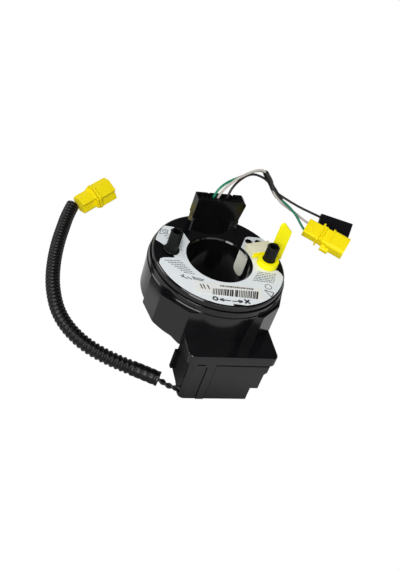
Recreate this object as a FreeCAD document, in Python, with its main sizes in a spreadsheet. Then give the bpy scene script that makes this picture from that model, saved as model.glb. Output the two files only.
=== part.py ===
"""Steering clock spring: fixed tub with its connector box, turning reel, lock tab and leads.

Millimetres. Z runs up the steering column, the origin is on the reel's axis at the tub's underside,
and -Y points to the connector box.
"""
import FreeCAD, Part
import math
import os
import Sketcher

V = FreeCAD.Vector

# Every size in the spreadsheet, by name.
SIZES = {
    # heights up the column
    "disc_top": 29.0, "disc_under": 26.4, "disc_skirt": 25.5, "disc_shoulder": 1.8,
    "ring_top": 25.0, "ring_roof": 1.0, "tub_top": 20.0, "tub_floor": 2.0,
    "deck_top": 1.2, "deck_under": -0.8, "skirt_end": -5.0, "box_end": -34.5,
    "base_top": 41.0, "tower_top": 55.0, "sleeve_top": 3.0, "sleeve_end": -1.0,
    # radii about the column
    "hub_radius": 20.6, "hub_wall": 1.7, "hub_clearance": 0.05, "disc_radius": 40.3,
    "rim_width": 1.7, "ring_inside": 36.5, "ring_outside": 41.2, "ring_lip": 41.7,
    "tub_radius": 41.5, "tub_foot": 40.6, "tub_inside": 38.7, "recess_width": 5.4,
    "retainer_gap": 0.6, "step_width": 1.8, "collar_wall": 1.6, "label_margin": 1.5,
    "label_rim": 1.2,
    # connector box
    "deck_left": -22.5, "deck_right": 32.5, "deck_front": -53.0, "deck_back": -28.0,
    "deck_corner": 4.0, "skirt_wall": 1.5, "box_left": -19.7, "box_right": 29.0,
    "box_front": -52.5, "box_back": -29.8, "box_fit": 0.15, "step_one": 27.4, "step_two": 22.6,
    "step_one_top": -12.8, "step_two_top": -24.7, "socket_roof": -18.0, "socket_front": -49.6,
    "socket_back": -33.0, "socket_left": -6.6, "socket_wall_left": 8.0, "socket_wall_right": 9.6,
    "socket_right": 20.8, "pin_end": -26.0, "pin_width": 1.0, "pin_pitch": 2.8, "pin_gap": 0.1,
    # reel
    "post_radius": 3.7, "post_height": 14.5, "post_pitch": 29.3, "post_left": 170.0,
    "post_right": -5.0, "post_bore": 2.5, "window_angle": 20.5, "window_width": 9.0,
    "window_top": 26.0, "window_end": 12.0, "window_reach": 3.4, "peg_radius": 1.5, "peg_clearance": 0.3,
    "tower_left": -15.7, "tower_right": 13.2, "tower_front": 21.0, "tower_back": 28.5,
    "tower_flare": 1.5, "tower_bevel": 1.8,
    "cell_pitch": 2.75, "cell_first": -13.75, "cell_depth": 8.0, "label_thick": 0.2,
    "ribbon_gap": 0.8, "ribbon_room": 5.6, "ribbon_thick": 0.35, "ribbon_low": 6.0,
    "ribbon_high": 26.0, "screw_hole": 4.5, "ear_thick": 3.4,
    # lock tab
    "tab_lift": 0.3, "tab_top": 33.2, "tab_ring": 6.4, "tab_turn": 16.0, "handle_top": 56.0,
    # leads
    "wire_diameter": 1.5, "pair_diameter": 3.0, "conduit_diameter": 9.2, "conduit_bore": 6.8,
    "harness_diameter": 5.2, "harness_bore": 4.4,
}

# Routes of the cords' centrelines.
GREEN = [(-5.5, 25.4, 52.0), (-4.8, 26.0, 57.6), (-1.5, 27.8, 62.2), (5.0, 31.0, 65.6),
         (14.0, 35.4, 67.0), (25.1, 39.4, 66.2), (31.4, 39.1, 62.4), (35.3, 36.8, 56.6),
         (41.7, 32.8, 50.5), (48.6, 31.4, 46.6), (53.8, 28.6, 42.0), (56.6, 24.6, 38.2),
         (58.9, 21.4, 36.3)]
WHITE = [(-2.75, 25.4, 52.0), (-2.2, 25.9, 57.4), (0.8, 27.4, 61.2), (7.4, 30.8, 63.9),
         (15.6, 35.0, 65.2), (24.4, 38.3, 65.1), (30.3, 38.0, 61.5), (34.0, 35.8, 56.0),
         (40.5, 31.7, 49.8), (48.0, 32.6, 44.8), (54.6, 32.2, 41.0), (59.2, 28.6, 39.0),
         (62.3, 25.8, 38.5)]
DARK = [(2.75, 25.4, 52.0), (3.4, 26.2, 57.6), (6.6, 29.2, 61.3), (12.6, 34.9, 63.2),
        (18.6, 38.2, 64.4), (24.3, 40.0, 64.8), (30.4, 39.7, 61.2), (34.2, 37.4, 55.4),
        (40.8, 33.3, 49.1), (50.8, 36.4, 46.8), (58.9, 37.1, 42.8), (67.6, 37.8, 39.1),
        (76.6, 38.2, 35.5)]
HARNESS = [(25.6, 39.15, 64.8), (30.7, 38.9, 61.7), (34.5, 36.7, 56.0), (40.2, 33.1, 50.55)]
PAIR = [(-12.6, -48.6, -31.2), (-22.4, -48.9, -31.0), (-31.0, -40.6, -30.8),
        (-40.3, -35.4, -30.8), (-48.9, -30.9, -30.8), (-59.2, -24.7, -30.8), (-69.6, -16.2, -30.8),
        (-77.8, -4.6, -30.8), (-82.9, 9.2, -30.8), (-84.1, 23.9, -30.8), (-83.2, 40.0, -30.8),
        (-79.6, 59.0, -30.8), (-74.4, 77.5, -30.8), (-69.3, 91.8, -30.8), (-65.6, 102.4, -30.8),
        (-61.9, 111.2, -30.8), (-57.5, 111.6, -29.3)]
CONDUIT = [(-30.2, -41.2, -30.8)] + PAIR[3:15] + [(-61.8, 111.7, -30.8)]

# Where the airbag connector hangs: its rear face, then yaw, pitch and roll.
AIRBAG_PLACE = (60.0, 24.1, 37.4)
AIRBAG_TURN = (-36.7, 0.9, 21.0)

os.makedirs("parts", exist_ok=True)
doc = FreeCAD.newDocument("clock_spring")
table = doc.addObject("Spreadsheet::Sheet", "Sizes")


class Size:
    """A number that remembers the spreadsheet formula it came from."""

    def __init__(self, value, text):
        self.value = value
        self.text = text

    def joined(self, other, sign, value):
        text = other.text if isinstance(other, Size) else repr(float(other))
        return Size(value, "(%s %s %s)" % (self.text, sign, text))

    def __add__(self, other):
        return self.joined(other, "+", self.value + number(other))

    def __sub__(self, other):
        return self.joined(other, "-", self.value - number(other))

    def __mul__(self, other):
        return self.joined(other, "*", self.value * number(other))

    def __truediv__(self, other):
        return self.joined(other, "/", self.value / number(other))

    def __neg__(self):
        return Size(-self.value, "(0 - %s)" % self.text)


def number(size):
    return size.value if isinstance(size, Size) else float(size)


class Named:
    """The spreadsheet's sizes as attributes."""


S = Named()
for row, (alias, value) in enumerate(SIZES.items(), 1):
    table.set("A%d" % row, alias)
    table.set("B%d" % row, repr(value))
    table.setAlias("B%d" % row, alias)
    setattr(S, alias, Size(value, "Sizes." + alias))
doc.recompute()

# Sizes that follow from others, so that the nested rings keep their walls and gaps.
S.bore_radius = S.hub_radius - S.hub_wall
S.recess_radius = S.hub_radius + S.recess_width
S.retainer_radius = S.recess_radius - S.retainer_gap
S.floor_step = S.recess_radius + S.step_width
S.collar_radius = S.hub_radius + S.collar_wall
S.label_inside = S.bore_radius + S.label_margin
S.label_outside = S.disc_radius - S.label_rim
S.ribbon_start = S.hub_radius + S.ribbon_gap
S.ribbon_pitch = (S.tub_inside - S.ribbon_room - S.ribbon_start) / 4.5

NODES = []


def bind(thing, path, size):
    if isinstance(size, Size):
        thing.setExpression(path, size.text)


def new_body(node):
    body = doc.addObject("PartDesign::Body", node)
    body.Label = node
    NODES.append(body)
    return body


def origin_part(body, role):
    return [o for o in body.Origin.OriginFeatures if o.Role == role][0]


def add_polygon(sketch, points):
    corners = [V(number(x), number(y), 0) for x, y in points]
    count = len(corners)
    lines = [sketch.addGeometry(Part.LineSegment(corners[i], corners[(i + 1) % count]), False)
             for i in range(count)]
    for i in range(count):
        after = lines[(i + 1) % count]
        sketch.addConstraint(Sketcher.Constraint("Coincident", lines[i], 2, after, 1))
    for line, corner, (x, y) in zip(lines, corners, points):
        across = sketch.addConstraint(Sketcher.Constraint("DistanceX", -1, 1, line, 1, corner.x))
        bind(sketch, "Constraints[%d]" % across, x)
        up = sketch.addConstraint(Sketcher.Constraint("DistanceY", -1, 1, line, 1, corner.y))
        bind(sketch, "Constraints[%d]" % up, y)


def add_circle(sketch, x, y, radius):
    centre = V(number(x), number(y), 0)
    ring = sketch.addGeometry(Part.Circle(centre, V(0, 0, 1), number(radius)), False)
    across = sketch.addConstraint(Sketcher.Constraint("DistanceX", -1, 1, ring, 3, centre.x))
    bind(sketch, "Constraints[%d]" % across, x)
    up = sketch.addConstraint(Sketcher.Constraint("DistanceY", -1, 1, ring, 3, centre.y))
    bind(sketch, "Constraints[%d]" % up, y)
    round_one = sketch.addConstraint(Sketcher.Constraint("Radius", ring, number(radius)))
    bind(sketch, "Constraints[%d]" % round_one, radius)


def draw(body, name, plane, loops, offset=0.0, turn=None, base=None):
    """Sketch of closed loops: a list of corners, or one (x, y, radius) for a circle."""
    sketch = body.newObject("Sketcher::SketchObject", name)
    sketch.AttachmentSupport = [(origin_part(body, plane), "")]
    sketch.MapMode = "FlatFace"
    rotation = FreeCAD.Rotation(V(*turn[0]), number(turn[1])) if turn else FreeCAD.Rotation()
    origin = V(*base) if base else V(0, 0, number(offset))
    sketch.AttachmentOffset = FreeCAD.Placement(origin, rotation)
    bind(sketch, ".AttachmentOffset.Base.z", offset)
    for loop in loops:
        if isinstance(loop, tuple):
            add_circle(sketch, *loop)
        else:
            add_polygon(sketch, loop)
    doc.recompute()
    return sketch


def pad(body, name, sketch, length, backward=False):
    solid = body.newObject("PartDesign::Pad", name)
    solid.Profile = sketch
    solid.Length = number(length)
    bind(solid, "Length", length)
    solid.Reversed = backward
    doc.recompute()
    return solid


def pocket(body, name, sketch, length, backward=False):
    """Cuts against the sketch's normal, or along it when backward; it must take something away."""
    before = body.Shape.Volume
    cut = body.newObject("PartDesign::Pocket", name)
    cut.Profile = sketch
    cut.Length = number(length)
    bind(cut, "Length", length)
    cut.Reversed = backward
    doc.recompute()
    if not body.Shape.Volume < before - 1e-6:
        raise RuntimeError(name + " cuts nothing")
    return cut


def turned(body, name, points, cut=False):
    """Revolves corners given as (radius, height) about the column axis."""
    before = 0.0 if not cut else body.Shape.Volume
    sketch = draw(body, name + "_profile", "XZ_Plane", [points])
    kind = "PartDesign::Groove" if cut else "PartDesign::Revolution"
    solid = body.newObject(kind, name)
    solid.Profile = sketch
    solid.ReferenceAxis = (sketch, ["V_Axis"])
    solid.Angle = 360
    doc.recompute()
    if cut and not body.Shape.Volume < before - 1e-6:
        raise RuntimeError(name + " cuts nothing")
    return solid


def rounded(body, name, radius, wanted, kind="Fillet"):
    """Rounds or bevels the edges for which wanted(edge) is true."""
    base = body.Tip
    edges = ["Edge%d" % (i + 1) for i, edge in enumerate(base.Shape.Edges) if wanted(edge)]
    if not edges:
        raise RuntimeError(name + " finds no edge")
    finish = body.newObject("PartDesign::" + kind, name)
    finish.Base = (base, edges)
    if kind == "Fillet":
        finish.Radius = radius
    else:
        finish.Size = radius
    doc.recompute()
    return finish


def upright_at(x, y):
    """True for edges along Z that stand at x, y."""
    place = V(number(x), number(y), 0)

    def wanted(edge):
        ends = [V(v.X, v.Y, 0) for v in edge.Vertexes]
        tall = abs(edge.BoundBox.ZLength) > 0.5
        return tall and all(end.distanceToPoint(place) < 0.05 for end in ends)
    return wanted


def either(*tests):
    return lambda edge: any(test(edge) for test in tests)


def rim_at(radius, height):
    """True for full circles about the column axis."""
    def wanted(edge):
        box = edge.BoundBox
        level = box.ZLength < 0.01 and abs(box.ZMin - number(height)) < 0.01
        return level and abs(box.XMax - number(radius)) < 0.01 and abs(box.YMax - number(radius)) < 0.01
    return wanted


def block(left, right, low, high):
    return [(left, low), (right, low), (right, high), (left, high)]


def polar(radius, degrees):
    turn = math.radians(degrees)
    return (radius * math.cos(turn), radius * math.sin(turn))


def aimed(node, position, yaw, pitch, roll):
    """Places a body built about its own origin."""
    node.Placement = FreeCAD.Placement(V(*position), FreeCAD.Rotation(yaw, pitch, roll))


def cord_wire(points):
    """Straight runs joined by tangent arcs; the radius is 0.45 of the shorter run over tan(turn/2)."""
    spots = [V(*p) for p in points]
    edges = []
    radii = []
    start = spots[0]
    for before, corner, after in zip(spots, spots[1:], spots[2:]):
        arrive = (corner - before).normalize()
        leave = (after - corner).normalize()
        half = arrive.getAngle(leave) / 2.0
        reach = 0.45 * min(before.distanceToPoint(corner), corner.distanceToPoint(after))
        radii.append(reach / math.tan(half))
        first = corner - arrive * reach
        last = corner + leave * reach
        middle = corner + (leave - arrive).normalize() * (radii[-1] / math.cos(half) - radii[-1])
        edges.append(Part.LineSegment(start, first).toShape())
        edges.append(Part.Arc(first, middle, last).toShape())
        start = last
    edges.append(Part.LineSegment(start, spots[-1]).toShape())
    return Part.Wire(edges), radii


def tube(wire, points, diameter):
    """Solid tube of one diameter along a wire."""
    along = V(*points[1]) - V(*points[0])
    section = Part.Wire([Part.Circle(V(*points[0]), along, diameter / 2.0).toShape()])
    return wire.makePipeShell([section], True, True)


def cord(node, points, outside, inside=None):
    """Cord node; its bore, when it has one, follows the same centreline."""
    wire, radii = cord_wire(points)
    shape = tube(wire, points, number(outside))
    wanted = wire.Length * math.pi * number(outside) ** 2 / 4.0
    print("%s: length %.1f, volume %.1f of %.1f, radii %s" % (
        node, wire.Length, shape.Volume, wanted, " ".join("%.1f" % r for r in radii)))
    if inside is not None:
        shape = shape.cut(tube(wire, points, number(inside)))
    if shape.ShapeType != "Solid":
        shape = shape.Solids[0]
    thing = doc.addObject("Part::Feature", node)
    thing.Label = node
    thing.Shape = shape
    thing.Placement = FreeCAD.Placement()
    NODES.append(thing)
    return thing


def repeated(body, name, feature, sketch, pitch, count):
    """The feature again along the sketch's X."""
    pattern = body.newObject("PartDesign::LinearPattern", name)
    pattern.Originals = [feature]
    pattern.Direction = (sketch, ["H_Axis"])
    pattern.Length = number(pitch) * (count - 1)
    pattern.setExpression("Length", (pitch * (count - 1)).text)
    pattern.Occurrences = count
    body.Tip = pattern
    doc.recompute()
    return pattern


# Fixed side

def make_lower_case():
    body = new_body("lower_case")
    turned(body, "tub", [(0, 0), (S.tub_foot, 0), (S.tub_radius, S.tub_top), (0, S.tub_top)])
    facet = [polar(39.6, -173), (-41.2, -8.0), (-38.6, -23.3), (-24.2, -37.2), (-15.5, -37.6)]
    pad(body, "left_corner", draw(body, "left_corner_plan", "XY_Plane", [facet], -5.2),
        S.tub_top + 5.2)
    corner = [(37.6, -11.5), (38.8, -15.6), (33.0, -28.8), (20.5, -38.5), (10.4, -38.4)]
    pad(body, "right_corner", draw(body, "right_corner_plan", "XY_Plane", [corner]), S.tub_top)
    deck = block(S.deck_left, S.deck_right, S.deck_front, S.deck_back)
    pad(body, "deck", draw(body, "deck_plan", "XY_Plane", [deck], S.skirt_end),
        S.deck_top - S.skirt_end)
    rounded(body, "deck_corners", number(S.deck_corner),
            either(upright_at(S.deck_left, S.deck_front), upright_at(S.deck_right, S.deck_front)))
    for side, degrees in (("left", 104.0), ("right", 24.0)):
        for part, radius in (("ear", 45.5), ("web", 41.5)):
            x, y = polar(radius, degrees)
            name = "%s_%s" % (part, side)
            pad(body, name, draw(body, name + "_plan", "XY_Plane", [(x, y, 5.0)]), S.ear_thick)
    turned(body, "chamber", [
        (0, S.tub_top + 1), (S.tub_inside, S.tub_top + 1), (S.tub_inside, S.tub_floor),
        (S.floor_step, S.tub_floor), (S.floor_step, S.tub_floor + 2),
        (S.collar_radius, S.tub_floor + 2), (S.collar_radius, 5.6), (0, 5.6)], cut=True)
    hole = S.hub_radius + S.hub_clearance
    turned(body, "hub_hole", [(0, -8), (hole, -8), (hole, 6), (0, 6)], cut=True)
    roof = S.tub_floor + 0.2
    turned(body, "retainer_recess",
           [(0, -8), (S.recess_radius, -8), (S.recess_radius, roof), (0, roof)], cut=True)
    inner_deck = block(S.deck_left + S.skirt_wall, S.deck_right - S.skirt_wall,
                       S.deck_front + S.skirt_wall, S.deck_back - S.skirt_wall)
    pocket(body, "box_seat", draw(body, "box_seat_plan", "XY_Plane", [inner_deck], S.deck_under), 8)
    hollow = [(-36.8, -22.4), (-22.7, -36.0), (-22.7, -20.0), (-35.0, -3.0), (-39.4, -6.0)]
    pocket(body, "wing_hollow", draw(body, "wing_hollow_plan", "XY_Plane", [hollow]), 8)
    wave = [(-24, -1.0), (0, -1.2), (4.7, -2.3), (8.6, -2.9), (13.7, -3.0), (17, -4.2),
            (19.9, -5.0), (22, -5.0), (22, -9), (-24, -9)]
    edge = draw(body, "wing_edge_plan", "XZ_Plane", [wave], turn=((0, 1, 0), -44.0),
                base=(-39.3, 0, 24.0))
    pocket(body, "wing_edge", edge, 6)
    side = [(-44, -2), (-35.5, -2), (-37.4, -23.7), (-44, -23.7)]
    pocket(body, "wing_side", draw(body, "wing_side_plan", "XY_Plane", [side], -1.0), 6)
    for side, degrees in (("left", 104.0), ("right", 24.0)):
        x, y = polar(45.5, degrees)
        name = "screw_hole_" + side
        plan = draw(body, name + "_plan", "XY_Plane", [(x, y, S.screw_hole / 2)], S.ear_thick)
        pocket(body, name, plan, S.ear_thick)


def make_cover_ring():
    body = new_body("cover_ring")
    turned(body, "ring", [
        (S.ring_inside, S.ring_top - S.ring_roof), (39.3, S.ring_top - S.ring_roof),
        (39.3, S.tub_top), (S.ring_lip, S.tub_top), (S.ring_lip, S.tub_top + 0.9),
        (S.ring_outside, S.tub_top + 1.3), (S.ring_outside, S.ring_top),
        (S.ring_inside, S.ring_top)])
    rounded(body, "ring_edge", 0.4, rim_at(S.ring_outside, S.ring_top))


def make_connector_housing():
    body = new_body("connector_housing")
    outline = [(S.box_left, S.box_end), (S.step_two, S.box_end), (S.step_two, S.step_two_top),
               (S.step_one, S.step_two_top), (S.step_one, S.step_one_top), (S.box_right, -11.2),
               (S.box_right, S.skirt_end), (S.box_left, S.skirt_end)]
    front = draw(body, "box_outline", "XZ_Plane", [outline], -S.box_front)
    pad(body, "box", front, S.box_back - S.box_front, backward=True)
    rounded(body, "box_corner", 3.5, upright_at(S.box_left, S.box_front))
    head = block(S.deck_left + S.skirt_wall + S.box_fit, S.deck_right - S.skirt_wall - S.box_fit,
                 S.deck_front + S.skirt_wall + S.box_fit, S.deck_back - S.skirt_wall - S.box_fit)
    pad(body, "head", draw(body, "head_plan", "XY_Plane", [head], S.skirt_end),
        S.deck_under - S.skirt_end)
    strip = [(-9.3, S.box_end), (-4.4, S.box_end), (-4.4, S.skirt_end), (-11.5, S.skirt_end),
             (-9.3, -7.6)]
    pad(body, "front_strip", draw(body, "strip_outline", "XZ_Plane", [strip], -S.box_front), 0.45)
    rail = block(-21.4, S.box_left, -32.4, S.box_back)
    pad(body, "side_rail", draw(body, "rail_plan", "XY_Plane", [rail], -30.8), 14.0)
    for name, left, right in (("foot_left", -16.5, -11.7), ("foot_right", -5.0, -0.6)):
        foot = block(left, right, -51.4, -49.9)
        pad(body, name, draw(body, name + "_plan", "XY_Plane", [foot], -35.2), 0.7)
    bevel = [(-31.4, S.box_end - 1), (-46.0, S.box_end - 1), (-46.0, -33.4), (-41.0, -32.0),
             (-29.0, -31.4), (-29.0, S.box_end - 1)]
    plan = draw(body, "heel_outline", "YZ_Plane", [bevel], S.box_left - 2)
    pocket(body, "heel", plan, 9.5, backward=True)
    for name, left, right in (("socket_one", S.socket_left, S.socket_wall_left),
                              ("socket_two", S.socket_wall_right, S.socket_right)):
        mouth = block(left, right, S.socket_front, S.socket_back)
        plan = draw(body, name + "_plan", "XY_Plane", [mouth], S.box_end)
        pocket(body, name, plan, S.socket_roof - S.box_end, backward=True)
    well = block(S.socket_left, S.socket_right, S.socket_front, S.socket_back)
    pocket(body, "carrier_well", draw(body, "well_plan", "XY_Plane", [well], S.deck_under),
           S.deck_under - S.socket_roof - 1.5)
    for name, first, count in (("pin_holes_one", -3.5, 4), ("pin_holes_two", 12.4, 3)):
        half = S.pin_width / 2 + S.pin_gap
        loops = [block(-half + first, half + first, -half + y, half + y) for y in (-44.1, -38.5)]
        plan = draw(body, name + "_plan", "XY_Plane", loops, S.socket_roof + 1.5)
        holes = pocket(body, name + "_first", plan, 1.5)
        repeated(body, name, holes, plan, S.pin_pitch, count)
    entry = draw(body, "wire_entry_plan", "YZ_Plane", [(-48.75, -31.1, 1.9)], S.box_left - 1)
    pocket(body, "wire_entry", entry, 9, backward=True)


def make_socket_pins():
    body = new_body("socket_pins")
    seat = S.socket_roof + 1.5
    frame = block(-5.6, 19.8, -46.0, -36.6)
    pad(body, "lead_frame", draw(body, "lead_frame_plan", "XY_Plane", [frame], seat), 1.0)
    for name, first, count in (("pins_one", -3.5, 4), ("pins_two", 12.4, 3)):
        half = S.pin_width / 2
        loops = [block(-half + first, half + first, -half + y, half + y) for y in (-44.1, -38.5)]
        plan = draw(body, name + "_plan", "XY_Plane", loops, S.pin_end)
        pins = pad(body, name + "_first", plan, seat - S.pin_end)
        repeated(body, name, pins, plan, S.pin_pitch, count)


def make_terminal_block():
    body = new_body("terminal_block")
    plan = block(S.socket_left + 0.1, S.socket_right - 0.1, S.socket_front + 0.1, S.socket_back - 0.1)
    low = S.socket_roof + 2.5
    pad(body, "carrier", draw(body, "carrier_plan", "XY_Plane", [plan], low), S.deck_under - low)


def connector(node, parts, holes):
    """Body from boxes (start, end, half width, low, high) along local X, with wire holes."""
    body = new_body(node)
    for name, start, end, half, low, high in parts:
        face = draw(body, name + "_face", "YZ_Plane", [block(-half, half, low, high)], start)
        pad(body, name, face, end - start)
    loops = [(y, z, radius) for y, z, radius, depth in holes]
    face = draw(body, "wire_holes_face", "YZ_Plane", loops, 0.0)
    pocket(body, "wire_holes", face, holes[0][3], backward=True)
    return body


def along_x(half, low, high):
    """True for the long edges along local X at these corners."""
    def wanted(edge):
        box = edge.BoundBox
        if box.XLength < 2 or box.YLength > 0.01 or box.ZLength > 0.01:
            return False
        corner = abs(abs(box.YMin) - half) < 0.01
        return corner and (abs(box.ZMin - low) < 0.01 or abs(box.ZMin - high) < 0.01)
    return wanted


def make_pigtail_connector():
    body = connector("pigtail_connector", [
        ("rear", 0.0, 12.5, 4.7, -4.3, 4.3), ("collar", 12.5, 14.6, 6.9, -5.0, 5.9),
        ("shell", 14.6, 28.4, 6.4, -4.9, 5.7)], [(0.0, 0.0, 2.2, 3.0)])
    rounded(body, "shell_edges", 1.9, along_x(6.4, -4.9, 5.7), "Chamfer")
    rounded(body, "rear_edges", 0.8, along_x(4.7, -4.3, 4.3), "Chamfer")
    notch = draw(body, "key_notch_face", "YZ_Plane", [block(1.6, 4.2, 4.1, 6.4)], 29.4)
    pocket(body, "key_notch", notch, 3.5)
    cells = draw(body, "cells_face", "YZ_Plane", [block(-3.6, -0.8, -1.6, 1.6),
                                                  block(0.8, 3.6, -1.6, 1.6)], 29.4)
    pocket(body, "cells", cells, 7.0)
    ledge = draw(body, "side_ledge_face", "YZ_Plane", [block(-5.9, -4.6, -4.3, -1.2)], 0.6)
    pad(body, "side_ledge", ledge, 12.0)
    aimed(body, (-57.9, 111.5, -29.3), 33.0, -12.5, 13.0)


def make_airbag_connector():
    body = connector("airbag_connector", [
        ("rear", 0.0, 9.0, 5.4, -3.0, 2.6), ("flange", 9.0, 10.2, 6.5, -4.4, 3.6),
        ("waist", 10.2, 16.6, 5.6, -3.6, 2.9), ("shell", 16.6, 27.6, 5.9, -4.2, 3.4)],
        [(-3.0, 0.0, 1.0, 2.5), (3.0, 0.0, 1.0, 2.5)])
    rounded(body, "waist_edges", 1.3, along_x(5.6, -3.6, 2.9), "Chamfer")
    rounded(body, "shell_edges", 1.5, along_x(5.9, -4.2, 3.4), "Chamfer")
    rounded(body, "rear_edges", 1.1, along_x(5.4, -3.0, 2.6), "Chamfer")
    for name, y in (("slit_one", -2.6), ("slit_two", 1.6)):
        face = draw(body, name + "_face", "XY_Plane", [block(10.9, 11.6, y, y + 1.9)], 3.5)
        pocket(body, name, face, 1.6)
    cells = draw(body, "cells_face", "YZ_Plane", [block(-3.6, -0.9, -1.7, 1.4),
                                                  block(0.9, 3.6, -1.7, 1.4)], 28.6)
    pocket(body, "cells", cells, 8.0)
    aimed(body, AIRBAG_PLACE, *AIRBAG_TURN)


def make_airbag_lock():
    """Latch piece on the near side of the airbag connector's waist."""
    body = new_body("airbag_lock")
    face = draw(body, "latch_face", "YZ_Plane", [block(-7.9, -5.6, -3.4, -0.4)], 11.2)
    pad(body, "latch", face, 5.2)
    rounded(body, "latch_edges", 0.9, lambda edge: abs(edge.BoundBox.YMin + 7.9) < 0.01
            and edge.BoundBox.XLength > 2)
    aimed(body, AIRBAG_PLACE, *AIRBAG_TURN)


def make_horn_connector():
    body = connector("horn_connector", [
        ("shell", 0.0, 20.6, 3.0, -5.3, 5.3), ("rib", 3.0, 17.0, 3.5, -3.6, -2.6)],
        [(0.0, 2.8, 1.6, 2.0)])
    rounded(body, "shell_edges", 0.7, along_x(3.0, -5.3, 5.3))
    cell = draw(body, "cell_face", "YZ_Plane", [block(-1.6, 1.6, -3.4, 3.4)], 21.6)
    pocket(body, "cell", cell, 8.0)
    aimed(body, (75.3, 37.0, 33.1), -23.0, 0.0, -36.0)


# Turning side

def make_rotor_disc():
    body = new_body("rotor_disc")
    turned(body, "reel", [
        (S.bore_radius, S.sleeve_top), (S.hub_radius, S.sleeve_top), (S.hub_radius, S.disc_under),
        (S.disc_radius - S.rim_width, S.disc_under), (S.disc_radius - S.rim_width, S.disc_skirt),
        (S.disc_radius, S.disc_skirt),
        (S.disc_radius, S.disc_top), (S.label_inside, S.disc_top),
        (S.bore_radius + 0.55, S.disc_top - 0.45), (S.bore_radius, S.disc_top - 1.3)])
    rounded(body, "shoulder", number(S.disc_shoulder), rim_at(S.disc_radius, S.disc_top))
    base = block(S.tower_left + 0.6, S.tower_right + 0.5, S.tower_front, S.tower_back - 0.3)
    pad(body, "base", draw(body, "base_plan", "XY_Plane", [base], S.disc_top - 1),
        S.base_top - S.disc_top + 1)
    rounded(body, "base_edge", 0.7, upright_at(S.tower_left + 0.6, S.tower_front), "Chamfer")
    half = S.window_width / 2
    low = S.window_end + half
    slot = [(-half, low), (half * -0.87, low - half * 0.5), (half * -0.5, low - half * 0.87),
            (0, S.window_end), (half * 0.5, low - half * 0.87), (half * 0.87, low - half * 0.5),
            (half, low), (half, S.window_top), (-half, S.window_top)]
    window = draw(body, "window_outline", "YZ_Plane", [slot], turn=((0, 1, 0), S.window_angle),
                  base=(0, 0, 0))
    pocket(body, "window", window, S.hub_radius + S.window_reach, backward=True)
    for name, x, y, radius in (("hole_one", 23.1, 17.3, 2.25), ("hole_two", 29.5, 17.1, 2.25),
                               ("peg_hole", PEG[0], PEG[1], S.peg_radius + S.peg_clearance)):
        plan = draw(body, name + "_plan", "XY_Plane", [(x, y, radius)], S.disc_top)
        pocket(body, name, plan, S.disc_top - S.disc_under)


def make_lower_sleeve():
    body = new_body("lower_sleeve")
    wide = S.bore_radius + 0.2
    turned(body, "sleeve", [
        (wide, S.sleeve_end), (S.retainer_radius, S.sleeve_end), (S.retainer_radius, 1.7),
        (S.hub_radius, 1.7), (S.hub_radius, S.sleeve_top), (wide, S.sleeve_top)])


def make_ribbon():
    """Spiral of half circles on two centres, so each joins the next smoothly."""
    half = number(S.ribbon_thick) / 2.0
    pitch = number(S.ribbon_pitch)
    low = number(S.ribbon_low)
    edges = {-1: [], 1: []}
    for step in range(10):
        radius = number(S.ribbon_start) + step * pitch / 2.0
        centre = V((step % 2) * pitch / 2.0, 0, low)
        side = -1 if step % 2 else 1
        for skin in (-1, 1):
            size = radius + skin * half
            arc = Part.Arc(centre + V(side * size, 0, 0), centre + V(0, side * size, 0),
                           centre - V(side * size, 0, 0))
            edges[skin].append(arc.toShape())
    first = [edges[skin][0].Vertexes[0].Point for skin in (-1, 1)]
    ends = [edges[skin][-1].Vertexes[1].Point for skin in (-1, 1)]
    caps = [Part.LineSegment(first[0], first[1]).toShape(), Part.LineSegment(ends[0], ends[1]).toShape()]
    loop = Part.Wire(Part.__sortEdges__(edges[-1] + edges[1] + caps))
    shape = Part.Face(loop).extrude(V(0, 0, number(S.ribbon_high) - low))
    thing = doc.addObject("Part::Feature", "ribbon_cable")
    thing.Label = "ribbon_cable"
    thing.Shape = shape
    thing.Placement = FreeCAD.Placement(V(0, 0, 0), FreeCAD.Rotation(V(0, 0, 1), -60))
    NODES.append(thing)


def make_tower():
    body = new_body("tower_housing")
    high = S.tower_top
    right_top = S.tower_right + S.tower_flare
    front = [(S.tower_left, S.base_top), (S.tower_right, S.base_top),
             (right_top, high - S.tower_bevel), (right_top - S.tower_bevel, high),
             (S.tower_left, high)]
    face = draw(body, "tower_outline", "XZ_Plane", [front], -S.tower_front)
    pad(body, "tower", face, S.tower_back - S.tower_front, backward=True)
    cell = block(S.cell_first - 0.95, S.cell_first + 0.95, 23.6, 27.2)
    plan = draw(body, "cell_plan", "XY_Plane", [cell], high)
    first = pocket(body, "cell_first", plan, S.cell_depth)
    repeated(body, "cells", first, plan, S.cell_pitch, 9)
    for name, x in (("key_left", -8.6), ("key_right", 6.3)):
        key = draw(body, name + "_plan", "XY_Plane", [block(x, x + 1.3, 27.5, 29.0)], high)
        pocket(body, name, key, 1.4)


def make_post(node, degrees, foot):
    body = new_body(node)
    x, y = polar(number(S.post_pitch), number(degrees))
    pad(body, "post", draw(body, "post_plan", "XY_Plane", [(x, y, S.post_radius)], S.disc_top),
        S.post_height)
    if foot:
        pad(body, "foot", draw(body, "foot_plan", "XY_Plane", [(x, y, 4.8)], S.disc_top), 1.5)
    top = S.disc_top + S.post_height
    bore = draw(body, "bore_plan", "XY_Plane", [(x, y, S.post_bore)], top)
    pocket(body, "bore", bore, 11)
    slots = draw(body, "slot_one_plan", "XY_Plane", [block(x - 5, x + 5, y - 0.9, y + 0.9)], top)
    pocket(body, "slot_one", slots, 1.6)
    slots = draw(body, "slot_two_plan", "XY_Plane", [block(x - 0.9, x + 0.9, y - 5, y + 5)], top)
    pocket(body, "slot_two", slots, 1.6)


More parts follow.
